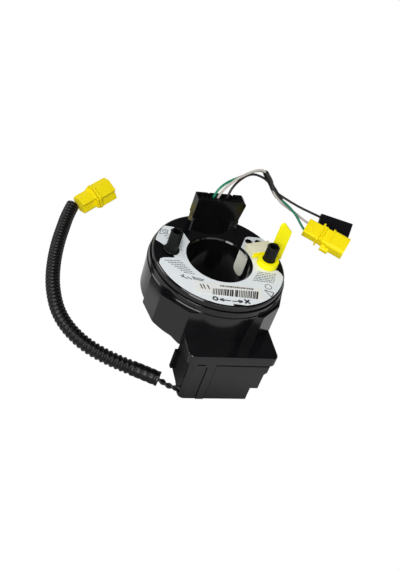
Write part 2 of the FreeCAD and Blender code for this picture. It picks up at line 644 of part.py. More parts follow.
def make_label():
    body = new_body("label")
    plan = draw(body, "ring_plan", "XY_Plane", [(0, 0, S.label_outside), (0, 0, S.label_inside)],
                S.disc_top)
    pad(body, "ring", plan, S.label_thick)
    above = S.disc_top + S.label_thick
    left_x, left_y = polar(number(S.post_pitch), number(S.post_left))
    right_x, right_y = polar(number(S.post_pitch), number(S.post_right))
    cuts = {
        "back": [(-15.4, 13.0), (-18.2, 22.4), (-20.2, 24.6), (-23.5, 26.0), (-28.9, 26.6),
                 (-36, 42), (42, 42), (42, 21.3), (24.2, 21.7), (22.4, 21.2), (21.3, 19.9),
                 (16.6, 11.6), (0, 6)],
        "left_notch": [(-44, 14.4), (-36.4, 13.4), (-31.6, 8.5), (-27.8, -1.6), (-35.0, -2.0),
                       (-37.2, -3.1), (-38.6, -6.6), (-44, -7.5)],
        "right_notch": [(34, -4), (32.9, -7.3), (35.0, -7.6), (36.5, -10.2), (37.0, -14.0),
                        (42, -15), (44, 2), (36, 2)],
        "front_notch": [(-1.3, -37.5), (11.6, -38.9), (11.6, -42), (-1.3, -42)],
    }
    for name, points in cuts.items():
        pocket(body, name, draw(body, name + "_plan", "XY_Plane", [points], above), 1)
    holes = [(23.1, 17.3, 2.35), (29.5, 17.1, 2.35), (left_x, left_y, 4.9), (right_x, right_y, 3.8),
             (PEG[0], PEG[1], S.peg_radius + S.peg_clearance + 0.1)]
    for count, hole in enumerate(holes):
        plan = draw(body, "hole_%d_plan" % count, "XY_Plane", [hole], above)
        pocket(body, "hole_%d" % count, plan, 1)


def make_sticker():
    body = new_body("serial_sticker")
    plan = [(-21.3, -20.6), (19.8, -23.7), (19.0, -33.4), (-22.0, -30.3)]
    pad(body, "sticker", draw(body, "sticker_plan", "XY_Plane", [plan], S.disc_top + S.label_thick),
        0.12)


def make_lock_tab():
    body = new_body("lock_tab")
    low = S.disc_top + S.label_thick + S.tab_lift
    x, y = polar(number(S.post_pitch), number(S.post_right))
    arm = draw(body, "arm_plan", "XY_Plane", [ARM], low)
    pad(body, "arm", arm, S.tab_top - low)
    pad(body, "ring", draw(body, "ring_plan", "XY_Plane", [(x, y, S.tab_ring)], low),
        S.tab_top + 0.2 - low)
    handle = [(31.5, low), (39.7, low), (39.7, S.handle_top - 5.6), (34.0, S.handle_top),
              (32.6, S.handle_top - 0.2), (31.7, S.handle_top - 1.4)]
    face = draw(body, "handle_outline", "XZ_Plane", [handle], -2.5)
    pad(body, "handle", face, 2.0, backward=True)
    hole = draw(body, "post_hole_plan", "XY_Plane", [(x, y, S.post_radius + S.peg_clearance)],
                S.tab_top + 1)
    pocket(body, "post_hole", hole, 6)
    peg = draw(body, "peg_plan", "XY_Plane", [(PEG[0], PEG[1], S.peg_radius)], S.disc_under + 0.4)
    pad(body, "peg", peg, low + 1 - S.disc_under - 0.4)


def make_lock_tape():
    body = new_body("lock_tape")
    strip = draw(body, "strip_plan", "XY_Plane", [STRIP], S.tab_top)
    pad(body, "strip", strip, 0.3)
    low = S.disc_top + S.label_thick + S.tab_lift
    end = draw(body, "end_plan", "XY_Plane", [STRIP_END], low)
    pad(body, "end", end, S.tab_top + 0.3 - low)


def turned_plan(points, degrees):
    """Plan corners given along and across a direction from the column."""
    turn = math.radians(degrees)
    return [(a * math.cos(turn) - b * math.sin(turn), a * math.sin(turn) + b * math.cos(turn))
            for a, b in points]


ARM = turned_plan([(20.4, -4.0), (32.6, -4.0), (33.6, -7.9), (37.6, -7.6), (37.9, 3.0), (20.4, 3.3)],
                  number(S.tab_turn))
PEG = turned_plan([(27.0, 0.0)], number(S.tab_turn))[0]
STRIP = turned_plan([(20.1, -3.9), (36.4, -3.9), (36.4, 3.2), (20.1, 3.2)], number(S.tab_turn))
STRIP_END = turned_plan([(20.1, -3.9), (20.4, -3.9), (20.4, 3.2), (20.1, 3.2)], number(S.tab_turn))

make_lower_case()
make_cover_ring()
make_connector_housing()
make_socket_pins()
make_terminal_block()
cord("pigtail_wires", PAIR, S.pair_diameter)
cord("conduit", CONDUIT, S.conduit_diameter, S.conduit_bore)
make_pigtail_connector()
make_rotor_disc()
make_lower_sleeve()
make_ribbon()
make_tower()
make_post("drive_post_left", S.post_left, True)
make_post("drive_post_right", S.post_right, False)
make_label()
make_sticker()
cord("wire_green", GREEN, S.wire_diameter)
cord("wire_white", WHITE, S.wire_diameter)
cord("wire_dark", DARK, S.wire_diameter)
cord("harness_tape", HARNESS, S.harness_diameter, S.harness_bore)
make_airbag_connector()
make_airbag_lock()
make_horn_connector()
make_lock_tab()
make_lock_tape()
doc.recompute()

for thing in doc.Objects:
    if any(word in ("Invalid", "Error") for word in thing.State):
        raise RuntimeError("%s is %s" % (thing.Name, thing.State))
for node in NODES:
    shape = node.Shape
    if shape.isNull() or not shape.isValid() or len(shape.Solids) != 1:
        raise RuntimeError("%s is not one valid solid: %s, %d solids" % (
            node.Label, shape.isValid(), len(shape.Solids)))
    box = shape.BoundBox
    print("%s: volume %.0f, x %.1f %.1f, y %.1f %.1f, z %.1f %.1f" % (
        node.Label, shape.Volume, box.XMin, box.XMax, box.YMin, box.YMax, box.ZMin, box.ZMax))
    shape.exportStep("parts/%s.step" % node.Label)
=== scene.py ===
"""Looks of the steering clock spring: finishes, printed label, ribbed tube, leads, studio."""
import bmesh
import bpy
import math
from mathutils import Matrix, Vector


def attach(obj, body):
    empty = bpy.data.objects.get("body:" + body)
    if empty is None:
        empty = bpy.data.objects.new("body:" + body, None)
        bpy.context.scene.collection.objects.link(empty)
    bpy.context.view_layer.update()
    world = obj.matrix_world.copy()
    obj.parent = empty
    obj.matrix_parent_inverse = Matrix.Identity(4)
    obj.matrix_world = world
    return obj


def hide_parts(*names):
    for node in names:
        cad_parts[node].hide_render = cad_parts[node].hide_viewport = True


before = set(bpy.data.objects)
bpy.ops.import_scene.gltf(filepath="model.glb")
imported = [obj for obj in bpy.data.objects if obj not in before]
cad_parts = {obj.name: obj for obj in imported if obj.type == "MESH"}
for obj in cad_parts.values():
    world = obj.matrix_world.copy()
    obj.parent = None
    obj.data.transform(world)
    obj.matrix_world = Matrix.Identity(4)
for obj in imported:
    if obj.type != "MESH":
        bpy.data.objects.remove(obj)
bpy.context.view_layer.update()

MM = 0.001

# Studio camera: where it stands, which way it looks and how far it is rolled

CAMERA_PLACE = (-0.21981, -0.42568, 0.39871)
FOCAL_LENGTH = 65.4
AZIMUTH = math.radians(26.673)
ELEVATION = math.radians(39.40)
ROLL = math.radians(20.728)


def aim_camera():
    """The camera that was fitted to the photo."""
    data = bpy.data.cameras.new("product_camera")
    data.lens = FOCAL_LENGTH
    data.sensor_width = 36.0
    camera = bpy.data.objects.new("product_camera", data)
    bpy.context.collection.objects.link(camera)
    forward = Vector((math.sin(AZIMUTH) * math.cos(ELEVATION),
                      math.cos(AZIMUTH) * math.cos(ELEVATION), -math.sin(ELEVATION)))
    level = Vector((math.cos(AZIMUTH), -math.sin(AZIMUTH), 0.0))
    upward = level.cross(forward)
    right = level * math.cos(ROLL) + upward * math.sin(ROLL)
    top = upward * math.cos(ROLL) - level * math.sin(ROLL)
    turn = Matrix((right, top, -forward)).transposed().to_4x4()
    camera.matrix_world = Matrix.Translation(CAMERA_PLACE) @ turn
    bpy.context.scene.camera = camera


aim_camera()

# Shared surface effects


def group_tree(name, inputs, outputs):
    """An empty node group with its sockets."""
    tree = bpy.data.node_groups.new(name, "ShaderNodeTree")
    for label, kind, value in inputs:
        socket = tree.interface.new_socket(label, in_out="INPUT", socket_type=kind)
        socket.default_value = value
    for label, kind in outputs:
        tree.interface.new_socket(label, in_out="OUTPUT", socket_type=kind)
    return tree, tree.nodes.new("NodeGroupInput"), tree.nodes.new("NodeGroupOutput")


def add(tree, kind, **settings):
    """A new node with the settings named."""
    node = tree.nodes.new(kind)
    for key, value in settings.items():
        setattr(node, key, value)
    return node


def moulded_skin_group():
    """Soft flow waves and fine grain of injection-moulded plastic."""
    tree, given, out = group_tree(
        "moulded_skin",
        [("Sheen roughness", "NodeSocketFloat", 0.2),
         ("Roughness spread", "NodeSocketFloat", 0.1), ("Flow scale", "NodeSocketFloat", 60.0),
         ("Grain scale", "NodeSocketFloat", 2600.0), ("Grain share", "NodeSocketFloat", 0.2)],
        [("Roughness", "NodeSocketFloat"), ("Height", "NodeSocketFloat")])
    place = add(tree, "ShaderNodeTexCoord")
    flow = add(tree, "ShaderNodeTexNoise")
    flow.inputs["Detail"].default_value = 3.0
    grain = add(tree, "ShaderNodeTexNoise")
    grain.inputs["Detail"].default_value = 1.0
    for noise, scale in ((flow, "Flow scale"), (grain, "Grain scale")):
        tree.links.new(place.outputs["Object"], noise.inputs["Vector"])
        tree.links.new(given.outputs[scale], noise.inputs["Scale"])
    spread = add(tree, "ShaderNodeMath", operation="MULTIPLY_ADD")
    tree.links.new(flow.outputs["Fac"], spread.inputs[0])
    tree.links.new(given.outputs["Roughness spread"], spread.inputs[1])
    tree.links.new(given.outputs["Sheen roughness"], spread.inputs[2])
    blend = add(tree, "ShaderNodeMix")
    tree.links.new(given.outputs["Grain share"], blend.inputs["Factor"])
    tree.links.new(flow.outputs["Fac"], blend.inputs["A"])
    tree.links.new(grain.outputs["Fac"], blend.inputs["B"])
    tree.links.new(spread.outputs["Value"], out.inputs["Roughness"])
    tree.links.new(blend.outputs["Result"], out.inputs["Height"])
    return tree


def mottled_colour_group():
    """Two close tints of one colour, mixed in broad soft patches."""
    tree, given, out = group_tree(
        "mottled_colour",
        [("Main", "NodeSocketColor", (0.5, 0.5, 0.5, 1)),
         ("Patch", "NodeSocketColor", (0.4, 0.4, 0.4, 1)),
         ("Patch scale", "NodeSocketFloat", 90.0), ("Patch share", "NodeSocketFloat", 0.5)],
        [("Color", "NodeSocketColor")])
    place = add(tree, "ShaderNodeTexCoord")
    noise = add(tree, "ShaderNodeTexNoise")
    noise.inputs["Detail"].default_value = 4.0
    tree.links.new(place.outputs["Object"], noise.inputs["Vector"])
    tree.links.new(given.outputs["Patch scale"], noise.inputs["Scale"])
    ramp = add(tree, "ShaderNodeMapRange")
    ramp.inputs["From Min"].default_value = 0.35
    ramp.inputs["From Max"].default_value = 0.65
    tree.links.new(noise.outputs["Fac"], ramp.inputs["Value"])
    share = add(tree, "ShaderNodeMath", operation="MULTIPLY")
    tree.links.new(ramp.outputs["Result"], share.inputs[0])
    tree.links.new(given.outputs["Patch share"], share.inputs[1])
    mix = add(tree, "ShaderNodeMix", data_type="RGBA")
    tree.links.new(share.outputs["Value"], mix.inputs["Factor"])
    tree.links.new(given.outputs["Main"], mix.inputs["A"])
    tree.links.new(given.outputs["Patch"], mix.inputs["B"])
    tree.links.new(mix.outputs["Result"], out.inputs["Color"])
    return tree


MOULDED_SKIN = moulded_skin_group()
MOTTLED_COLOUR = mottled_colour_group()


def linear(red, green, blue):
    """Colour as a screen shows it, 0 to 255, for the shader."""
    steps = [c / 255.0 for c in (red, green, blue)]
    lights = [c / 12.92 if c <= 0.04045 else ((c + 0.055) / 1.055) ** 2.4 for c in steps]
    return (*lights, 1.0)


RELIEF_DEPTH = 0.06 * MM


def finish(name, main, patch, gloss=0.2, spread=0.1, bump=0.1, flow=60.0, share=0.2, patches=90.0,
           metallic=0.0, ior=1.5):
    """Procedural finish: mottled colour, moulded roughness and a little surface relief."""
    material = bpy.data.materials.new(name)
    material.use_nodes = True
    tree = material.node_tree
    shader = tree.nodes["Principled BSDF"]
    colour = add(tree, "ShaderNodeGroup", node_tree=MOTTLED_COLOUR)
    colour.inputs["Main"].default_value = linear(*main)
    colour.inputs["Patch"].default_value = linear(*patch)
    colour.inputs["Patch scale"].default_value = patches
    skin = add(tree, "ShaderNodeGroup", node_tree=MOULDED_SKIN)
    for label, value in (("Sheen roughness", gloss), ("Roughness spread", spread),
                         ("Flow scale", flow), ("Grain share", share)):
        skin.inputs[label].default_value = value
    relief = add(tree, "ShaderNodeBump")
    relief.inputs["Strength"].default_value = bump
    relief.inputs["Distance"].default_value = RELIEF_DEPTH
    tree.links.new(colour.outputs["Color"], shader.inputs["Base Color"])
    tree.links.new(skin.outputs["Roughness"], shader.inputs["Roughness"])
    tree.links.new(skin.outputs["Height"], relief.inputs["Height"])
    tree.links.new(relief.outputs["Normal"], shader.inputs["Normal"])
    shader.inputs["Metallic"].default_value = metallic
    shader.inputs["IOR"].default_value = ior
    return material


GLOSS_BLACK = finish("gloss_black", (10, 10, 11), (15, 15, 17), gloss=0.07, spread=0.08,
                     bump=0.05, flow=24.0)
CASE_BLACK = finish("case_black", (13, 13, 15), (20, 20, 22), gloss=0.09, spread=0.12, bump=0.06,
                    flow=20.0)
POST_BLACK = finish("post_black", (10, 11, 11), (17, 18, 18), gloss=0.5, spread=0.14, bump=0.1,
                    share=0.6, ior=1.30)
TOWER_BLACK = finish("tower_black", (9, 9, 10), (15, 15, 16), gloss=0.10, spread=0.08, bump=0.04,
                     flow=24.0, ior=1.27)
TUBE_BLACK = finish("tube_black", (6, 6, 7), (11, 11, 12), gloss=0.25, spread=0.10, bump=0.02,
                    ior=1.36)
PLUG_YELLOW = finish("plug_yellow", (243, 223, 0), (237, 213, 0), gloss=0.46, spread=0.06,
                     bump=0.0, share=0.3, ior=1.33)
LOCK_YELLOW = finish("lock_yellow", (255, 248, 0), (255, 240, 0), gloss=0.46, spread=0.1,
                     bump=0.03, share=0.3, ior=1.33)
PLUG_BLACK = finish("plug_black", (5, 5, 8), (13, 12, 18), gloss=0.40, spread=0.2, bump=0.1,
                    share=0.5, patches=620.0, ior=1.15)
# Near-black finish for the painted shade in the box's grooves and under its skirt
GROOVE_SHADE_BLACK = finish("painted_groove_shade", (3, 3, 3), (6, 6, 6), gloss=0.85, spread=0.1, bump=0.02,
                    ior=1.15)
# The ribbon's cream lifted nearly to white: painted light on the ribbon inside the shaded bore
WINDOW_FILM_PAINTED_LIGHT = finish("window_film_painted_light", (252, 252, 242), (244, 245, 232), gloss=0.34, spread=0.1,
                     bump=0.02)
LABEL_FILM = finish("label_film", (226, 231, 233), (219, 225, 228), gloss=0.34, spread=0.06,
                    bump=0.03)
STICKER_FILM = finish("sticker_film", (228, 229, 225), (221, 223, 219), gloss=0.38, spread=0.08,
                      bump=0.04)
CREAM_FILM = finish("cream_film", (232, 234, 218), (222, 224, 206), gloss=0.3, spread=0.1,
                    bump=0.05)
CREAM_TAPE = finish("cream_tape", (238, 236, 208), (228, 224, 190), gloss=0.5, spread=0.1,
                    bump=0.2, share=0.7, patches=240.0)
TINNED = finish("tinned_brass", (200, 190, 160), (180, 172, 150), gloss=0.25, spread=0.15,
                bump=0.1, metallic=1.0)
GREEN_LEAD = finish("green_lead", (22, 128, 92), (14, 104, 76), gloss=0.32, spread=0.08,
                    bump=0.02)
WHITE_LEAD = finish("white_lead", (192, 185, 178), (172, 162, 155), gloss=0.34, spread=0.08,
                    bump=0.02)
BLACK_LEAD = finish("black_lead", (12, 12, 13), (22, 22, 24), gloss=0.30, spread=0.08, bump=0.02)
BROWN_LEAD = finish("brown_lead", (30, 20, 19), (58, 40, 37), gloss=0.36, spread=0.08, bump=0.02)
TAPE_BLACK = finish("tape_black", (12, 12, 12), (26, 27, 26), gloss=0.2, spread=0.14, bump=0.12,
                    flow=300.0)
PRINT_GREY = finish("print_grey", (72, 76, 80), (96, 100, 104), gloss=0.5, spread=0.1, bump=0.0)
PRINT_BLACK = finish("print_black", (22, 22, 24), (34, 34, 36), gloss=0.5, spread=0.1, bump=0.0)

# Mesh helpers

CRISP_TURN = 28.0
WELD = 0.000002
SOFT_ROUND = 0.0008
DECK_TOP = 1.2 * MM
DECK_FRONT = -0.0375
DECK_RIGHT = 0.030


def piece_from(mesh_name, bm, material, body):
    """Turns the mesh into a piece that moves with its body."""
    mesh = bpy.data.meshes.new(mesh_name)
    bm.to_mesh(mesh)
    bm.free()
    piece = bpy.data.objects.new(mesh_name, mesh)
    bpy.context.collection.objects.link(piece)
    mesh.materials.append(material)
    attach(piece, body)
    return piece


def shade(bm, limit):
    """Smooth faces, with the edges that turn further than the limit kept crisp."""
    for face in bm.faces:
        face.smooth = True
    for edge in bm.edges:
        if len(edge.link_faces) == 2 and edge.calc_face_angle(0.0) > math.radians(limit):
            edge.smooth = False


def crisp_edges(bm, limit, wanted=None):
    """Edges that turn further than the limit and pass the test."""
    return [e for e in bm.edges if len(e.link_faces) == 2
            and abs(e.calc_face_angle(0.0)) > math.radians(limit) and (not wanted or wanted(e))]


def round_edges(bm, edges, radius, steps=2):
    """Rounds the edges in the given number of facets."""
    bmesh.ops.bevel(bm, geom=edges, offset=radius, offset_type="OFFSET", segments=steps,
                    profile=0.5, affect="EDGES", clamp_overlap=True, material=-1,
                    miter_outer="SHARP", miter_inner="SHARP")


def joined_copy(node):
    """The CAD node's triangles joined into whole faces."""
    bm = bmesh.new()
    bm.from_mesh(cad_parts[node].data)
    bmesh.ops.remove_doubles(bm, verts=bm.verts, dist=WELD)
    flat = math.radians(1.0)
    bmesh.ops.dissolve_limit(bm, angle_limit=flat, verts=bm.verts, edges=bm.edges)
    return bm


def finished_shell(bm, node, name, material, body):
    """The mesh as a piece with even shading, in place of the plain node."""
    shade(bm, 24.0)
    piece = piece_from(name, bm, material, body)
    weighted = piece.modifiers.new("even_normals", "WEIGHTED_NORMAL")
    weighted.keep_sharp = True
    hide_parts(node)


def refined(node, material, edge_round, body, name, soft=None):
    """The solid with its edges rounded, the ones that pass the soft test more than the rest."""
    bm = joined_copy(node)
    if soft:
        round_edges(bm, crisp_edges(bm, CRISP_TURN, soft), SOFT_ROUND, 4)
    round_edges(bm, crisp_edges(bm, CRISP_TURN), edge_round)
    finished_shell(bm, node, name, material, body)


def deck_rim(edge):
    """The deck's top edge, round its front and its right side."""
    level = all(abs(v.co.z - DECK_TOP) < 0.00002 for v in edge.verts)
    middle = (edge.verts[0].co + edge.verts[1].co) / 2
    return level and edge.is_convex and (middle.y < DECK_FRONT or middle.x > DECK_RIGHT)


def coloured(node, material):
    """Gives a CAD node its finish."""
    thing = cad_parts[node]
    thing.data.materials.clear()
    thing.data.materials.append(material)


refined("lower_case", CASE_BLACK, 0.00025, "stator", "tub_shell",
        soft=deck_rim)
refined("cover_ring", GLOSS_BLACK, 0.0002, "stator", "snap_ring")
refined("connector_housing", CASE_BLACK, 0.00015, "stator", "socket_box")
refined("rotor_disc", GLOSS_BLACK, 0.0002, "rotor", "reel_body")
refined("tower_housing", TOWER_BLACK, 0.00015, "rotor", "tower_shell")
refined("lock_tab", LOCK_YELLOW, 0.00025, "lock_tab", "lock_clip")
refined("horn_connector", PLUG_BLACK, 0.0002, "rotor", "horn_plug")
coloured("terminal_block", GLOSS_BLACK)
coloured("socket_pins", TINNED)
coloured("ribbon_cable", CREAM_FILM)
coloured("label", LABEL_FILM)
coloured("serial_sticker", STICKER_FILM)

# Posts, window film, tape and painted groove shade, in millimetres

POST_CIRCLE = 29.3
POST_WALL = [(2.5, 32.5), (3.95, 29.0), (3.95, 29.9), (3.72, 30.2), (3.66, 42.8), (3.4, 43.3),
             (2.75, 43.3), (2.5, 43.0)]
POST_COLLAR = [(3.6, 29.0), (4.75, 29.0), (4.75, 29.9), (4.4, 30.3), (3.6, 30.4)]
POST_FLOOR = [(0.0, 34.0), (2.6, 34.0), (2.6, 34.6), (0.0, 34.6)]
WINDOW_RADIUS = 18.84
WINDOW_FOOT = 12.2
WINDOW_TOP = 28.0
WINDOW_CORNER = 4.2
WINDOW_DEGREES = 20.5
WINDOW_HALF_DEGREES = 13.2
# The ring's profile; below z -1 it runs on as a dark skirt put where the bore's foot shows only
# shade
SLEEVE_AND_SHADE_SKIRT_PROFILE = [(19.1, -7.5), (20.1, -7.5), (20.3, -1.0), (25.4, -1.0), (25.4, 1.7),
                  (20.6, 1.7), (20.6, 3.0), (19.1, 3.0)]
# Dark bars of painted shade, placed where the grooves and the gap under the skirt lie in shadow
PAINTED_GROOVE_SHADE_BARS = [((-9.75, -52.56, -34.3), (-9.3, -52.2, -7.4)),
         ((-4.4, -52.56, -34.3), (-3.95, -52.2, -5.4)),
         ((-15.8, -52.58, -6.4), (28.6, -52.2, -5.0)),
         ((-19.78, -49.0, -6.4), (-19.4, -32.0, -5.0))]


def block(bm, low, high, rounding):
    """A box between two corners with its edges rounded."""
    made = bmesh.ops.create_cube(bm, size=1.0)["verts"]
    bmesh.ops.scale(bm, vec=[(b - a) * MM for a, b in zip(low, high)], verts=made)
    bmesh.ops.translate(bm, vec=[(a + b) / 2 * MM for a, b in zip(low, high)], verts=made)
    round_edges(bm, list({e for v in made for e in v.link_edges}), rounding * MM)


def spun(bm, profile, centre, sides=40):
    """Turns a closed profile of (radius, height) about an upright line."""
    verts = [bm.verts.new(((centre[0] + r) * MM, centre[1] * MM, z * MM)) for r, z in profile]
    face = bm.faces.new(verts)
    bmesh.ops.spin(bm, geom=[face] + face.edges[:] + face.verts[:], angle=2 * math.pi,
                   steps=sides, axis=(0, 0, 1), cent=(centre[0] * MM, centre[1] * MM, 0),
                   use_merge=True)
    bmesh.ops.delete(bm, geom=[f for f in bm.faces if abs(f.normal.z) < 0.001
                               and len(f.verts) == len(profile)], context="FACES_ONLY")
    bmesh.ops.remove_doubles(bm, verts=bm.verts, dist=WELD)
    bmesh.ops.recalc_face_normals(bm, faces=bm.faces)


def make_post(name, node, degrees, collar):
    """Hollow drive post: a bevelled top with three shallow catches, with or without a collar."""
    angle = math.radians(degrees)
    centre = (POST_CIRCLE * math.cos(angle), POST_CIRCLE * math.sin(angle))
    bm = bmesh.new()
    spun(bm, POST_WALL, centre)
    if collar:
        spun(bm, POST_COLLAR, centre)
    spun(bm, POST_FLOOR, centre, 24)
    for turn in (40, 160, 280):
        x, y = (centre[0] + 3.05 * math.cos(math.radians(turn)),
                centre[1] + 3.05 * math.sin(math.radians(turn)))
        block(bm, (x - 0.8, y - 0.8, 42.4), (x + 0.8, y + 0.8, 43.45), 0.25)
    finished_shell(bm, node, name, POST_BLACK, "rotor")


def make_window_film():
    """The ribbon cable's inner turn, seen in the bore's rounded window, in a cream lighter than
    the ribbon's own: the real ribbon with painted light on it.
    """
    bm = bmesh.new()
    bmesh.ops.create_grid(bm, x_segments=12, y_segments=12, size=0.5)
    for vert in bm.verts:
        across = vert.co.x * 2.0
        foot = WINDOW_FOOT + WINDOW_CORNER * (1.0 - math.sqrt(max(0.0, 1.0 - across * across)))
        height = foot + (vert.co.y + 0.5) * (WINDOW_TOP - foot)
        turn = math.radians(WINDOW_DEGREES + across * WINDOW_HALF_DEGREES)
        vert.co = (WINDOW_RADIUS * MM * math.cos(turn), WINDOW_RADIUS * MM * math.sin(turn),
                   height * MM)
    bmesh.ops.solidify(bm, geom=bm.faces[:], thickness=0.00012)
    bmesh.ops.recalc_face_normals(bm, faces=bm.faces)
    shade(bm, 40.0)
    piece_from("window_patch", bm, WINDOW_FILM_PAINTED_LIGHT, "rotor")


def make_lower_sleeve():
    """Ring under the hub with a dark skirt below it that closes the bore's foot: a dark piece put
    where the bore shows only shade.
    """
    bm = bmesh.new()
    spun(bm, SLEEVE_AND_SHADE_SKIRT_PROFILE, (0.0, 0.0), 72)
    finished_shell(bm, "lower_sleeve", "retainer_ring", GLOSS_BLACK, "rotor")


def draw_painted_groove_shade():
    """Painted shade on the box: dark bars standing in for the shaded grooves on both sides of its
    front strip and the shaded gap under the skirt.
    """
    bm = bmesh.new()
    for low, high in PAINTED_GROOVE_SHADE_BARS:
        block(bm, low, high, 0.05)
    shade(bm, 40.0)
    piece_from("box_painted_groove_shade", bm, GROOVE_SHADE_BLACK, "stator")


def make_tape_strip():
    """The paper tape over the lock's arm, reaching a little further back than the arm."""
    bm = joined_copy("lock_tape")
    turn = math.radians(16.0)
    back = Vector((-math.sin(turn), math.cos(turn), 0))
    for vert in bm.verts:
        if vert.co.dot(back) > 0.002:
            vert.co += back * 0.0014
    round_edges(bm, crisp_edges(bm, CRISP_TURN), 0.0001)
    finished_shell(bm, "lock_tape", "paper_tape", CREAM_TAPE, "lock_tab")


make_post("left_post", "drive_post_left", 170.0, True)
make_post("right_post", "drive_post_right", -5.0, False)
make_window_film()
make_tape_strip()
make_lower_sleeve()
draw_painted_groove_shade()

# Yellow plugs: sections across the plug, pushed along it, in millimetres

AIRBAG_PLACE = (60.0, 24.1, 38.7)
AIRBAG_TURN = (-36.7, 3.8, 21.0)
PIGTAIL_PLACE = (-55.9, 112.8, -28.8)
PIGTAIL_TURN = (33.0, -12.5, 26.0)


SOCKET_WALL = 1.1
SAME = 1e-6


def section(bm, points, start, end, edge=0.25, corner=0.0, mouth=0.0):
    """Pushes a closed outline of (across, up) from start to end along the plug.

    The long edges are rounded by corner, the edges of both ends by edge, and mouth is the
    depth of a hollow in the front end.
    """
    verts = [bm.verts.new((start * MM, y * MM, z * MM)) for y, z in points]
    face = bm.faces.new(verts)
    grown = bmesh.ops.extrude_face_region(bm, geom=[face])["geom"]
    ahead = [g for g in grown if isinstance(g, bmesh.types.BMVert)]
    bmesh.ops.translate(bm, vec=((end - start) * MM, 0, 0), verts=ahead)
    whole = verts + ahead
    faces = list({f for v in whole for f in v.link_faces})
    bmesh.ops.recalc_face_normals(bm, faces=faces)
    if corner:
        long_edges = [e for e in {e for v in whole for e in v.link_edges}
                      if abs(e.verts[0].co.x - e.verts[1].co.x) > 0.5 * (end - start) * MM]
        bmesh.ops.bevel(bm, geom=long_edges, offset=corner * MM, offset_type="OFFSET", segments=4,
                        profile=0.5, affect="EDGES", clamp_overlap=True, material=-1)
    if mouth:
        front = [f for f in bm.faces if f.normal.x > 0.99
                 and abs(f.calc_center_median().x - end * MM) < SAME]
        bmesh.ops.inset_region(bm, faces=front, thickness=SOCKET_WALL * MM)
        dug = bmesh.ops.extrude_face_region(bm, geom=front)["geom"]
        bmesh.ops.translate(bm, vec=(-mouth * MM, 0, 0),
                            verts=[g for g in dug if isinstance(g, bmesh.types.BMVert)])
    own = [e for e in crisp_edges(bm, CRISP_TURN)
           if all(start * MM - SAME <= v.co.x <= end * MM + SAME for v in e.verts)
           and abs(e.verts[0].co.x - e.verts[1].co.x) < SAME]
    round_edges(bm, own, edge * MM)


def box_points(half, low, high):
    """A rectangle across the plug."""
    return [(-half, low), (half, low), (half, high), (-half, high)]


def placed(bm, place, turn):
    """Yaw, pitch and roll, then the plug's place."""
    yaw, pitch, roll = (math.radians(a) for a in turn)
    spin = (Matrix.Rotation(yaw, 4, "Z") @ Matrix.Rotation(pitch, 4, "Y")
            @ Matrix.Rotation(roll, 4, "X"))
    move = Matrix.Translation([c * MM for c in place])
    bmesh.ops.transform(bm, matrix=move @ spin, verts=bm.verts)


def make_airbag_plug():
    """Square connector with collars, ribs and an open front, and its latch beside it."""
    bm = bmesh.new()
    section(bm, box_points(5.5, -3.3, 2.7), 0.0, 9.4, corner=0.9)
    section(bm, box_points(1.0, 2.4, 2.95), 2.4, 4.2, corner=0.3, edge=0.15)
    section(bm, box_points(6.9, -4.4, 3.8), 9.2, 10.3, corner=0.9)
    section(bm, box_points(5.3, -3.4, 1.9), 10.2, 12.6, corner=0.8)
    for left, right in ((-5.5, -3.4), (-1.6, 1.2), (3.0, 5.5)):
        section(bm, [(left, -1.0), (right, -1.0), (right, 3.0), (left, 3.0)], 10.2, 12.7,
                edge=0.15)
    section(bm, box_points(5.6, -3.7, 3.0), 12.3, 16.6, corner=1.2)
    section(bm, box_points(6.9, -5.0, 4.3), 16.2, 17.4, corner=2.2)
    section(bm, box_points(6.5, -4.9, 4.0), 17.2, 27.9, corner=2.4, mouth=8.0, edge=0.5)
    section(bm, box_points(3.2, -1.4, 1.0), 18.0, 26.4, corner=0.5)
    placed(bm, AIRBAG_PLACE, AIRBAG_TURN)
    finished_shell(bm, "airbag_connector", "airbag_plug", PLUG_YELLOW, "rotor")
    latch = bmesh.new()
    section(latch, [(-8.6, -3.4), (-5.2, -4.0), (-5.2, 0.4), (-8.6, -0.4)], 13.6, 19.2,
            corner=0.8, edge=0.6)
    placed(latch, AIRBAG_PLACE, AIRBAG_TURN)
    finished_shell(latch, "airbag_lock", "airbag_latch", PLUG_YELLOW, "rotor")


def make_pigtail_plug():
    """Rounded connector at the tube's far end, with two collars and an open front."""
    bm = bmesh.new()
    rear = [(6.6, -2.2), (6.8, 0.6), (3.1, 4.4), (-2.4, 4.7), (-2.8, 2.2), (-6.4, 0.2),
            (-6.6, -1.4), (-2.6, -4.8), (3.6, -4.6)]
    rim = [(8.2, -1.6), (8.3, 2.0), (4.6, 6.0), (-4.4, 6.1), (-8.2, 2.0), (-9.2, 0.2),
           (-8.4, -1.8), (-3.0, -5.0), (3.6, -5.0)]
    shell = [(7.8, -1.2), (7.9, 1.8), (4.2, 5.4), (-4.2, 5.5), (-4.7, 3.2), (-8.8, 0.8),
             (-8.6, -1.0), (-3.0, -4.7), (3.5, -4.7)]
    section(bm, rear, 0.0, 12.6, edge=0.5)
    section(bm, [(y * 0.94, z * 0.94) for y, z in rim], 11.0, 11.7)
    section(bm, rim, 12.3, 14.2, edge=0.45)
    section(bm, shell, 14.0, 26.8, edge=0.4, mouth=7.0)
    section(bm, box_points(3.4, -1.5, 1.5), 16.0, 25.4, corner=0.5)
    placed(bm, PIGTAIL_PLACE, PIGTAIL_TURN)
    finished_shell(bm, "pigtail_connector", "pigtail_plug", PLUG_YELLOW,
                   "stator")


make_airbag_plug()
make_pigtail_plug()

# Leads and the ribbed tube: control points of their lines, in millimetres

